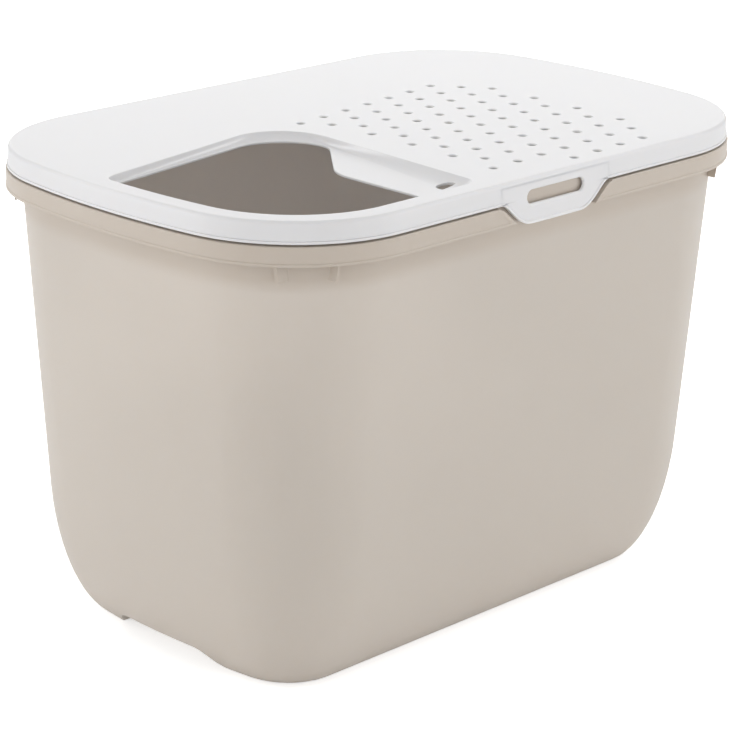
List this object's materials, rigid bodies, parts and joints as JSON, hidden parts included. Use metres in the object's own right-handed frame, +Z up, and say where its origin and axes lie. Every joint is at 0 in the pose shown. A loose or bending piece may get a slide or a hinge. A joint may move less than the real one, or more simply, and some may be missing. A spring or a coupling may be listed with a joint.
{
  "type": "top entry litter box",
  "caption": "Deep open tub with a lift-off lid that has a dished entry opening, a perforated foot area and two latch tabs.",
  "frame": {"origin": "on the floor under the middle of the box's outline", "axes": "+X along the length towards the perforated end of the lid, -Y towards the front long side, +Z up"},
  "size_m": [0.585, 0.39, 0.395],
  "materials": {
    "tub_plastic": "matte_plastic",
    "lid_plastic": "matte_plastic"
  },
  "bodies": {
    "tub": {"tub": "tub_plastic"},
    "lid": {"lid": "lid_plastic"},
    "front_latch": {"front_latch": "lid_plastic"},
    "rear_latch": {"rear_latch": "lid_plastic"}
  },
  "joints": [
    {"name": "lid_lift", "type": "slide", "parent": "tub", "child": "lid", "axis": [0, 0, 1], "range_m": [0, 0.12]},
    {"name": "front_latch_flex", "type": "hinge", "parent": "lid", "child": "front_latch", "pos_m": [0, -0.1926, 0.391], "axis": [-1, 0, 0], "range_deg": [0, 9], "stiffness_Nm_per_rad": 0.4},
    {"name": "rear_latch_flex", "type": "hinge", "parent": "lid", "child": "rear_latch", "pos_m": [0, 0.1926, 0.391], "axis": [1, 0, 0], "range_deg": [0, 9], "stiffness_Nm_per_rad": 0.4}
  ]
}
